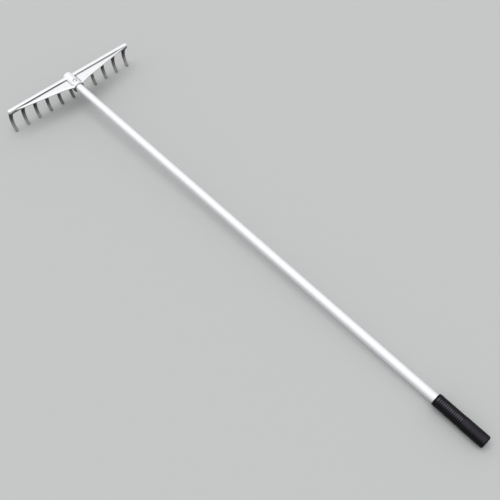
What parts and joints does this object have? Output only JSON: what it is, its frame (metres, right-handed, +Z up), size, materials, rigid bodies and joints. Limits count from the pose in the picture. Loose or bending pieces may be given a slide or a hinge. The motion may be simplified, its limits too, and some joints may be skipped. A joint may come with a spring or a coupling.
{
  "type": "golf bunker rake",
  "caption": "Bunker rake with a cast aluminium head of downward curving tines, a long straight tube handle in a riveted socket and a ribbed black rubber grip.",
  "frame": {"origin": "middle of the footprint, on the ground, with the rake lying on its tine tips and the butt of its grip", "axes": "+X along the head, +Y from the grip towards the head, +Z up"},
  "size_m": [0.43, 1.5462, 0.0888],
  "materials": {
    "cast_aluminium": "satin cast aluminium, lightly sand-textured, brightest on the upper faces",
    "tube_aluminium": "satin anodised drawn tube",
    "rivet_steel": "plain domed rivet head",
    "grip_rubber": "matt black moulded rubber, ribbed over the half nearer the head"
  },
  "bodies": {
    "root": {"head_socket": "cast_aluminium", "head_wing_left": "cast_aluminium", "head_wing_right": "cast_aluminium", "tine_01": "cast_aluminium", "tine_02": "cast_aluminium", "tine_03": "cast_aluminium", "tine_04": "cast_aluminium", "tine_05": "cast_aluminium", "tine_06": "cast_aluminium", "tine_07": "cast_aluminium", "tine_08": "cast_aluminium", "tine_09": "cast_aluminium", "tine_10": "cast_aluminium", "tine_11": "cast_aluminium", "shaft_tube": "tube_aluminium", "socket_rivet": "rivet_steel", "grip": "grip_rubber"}
  },
  "joints": []
}
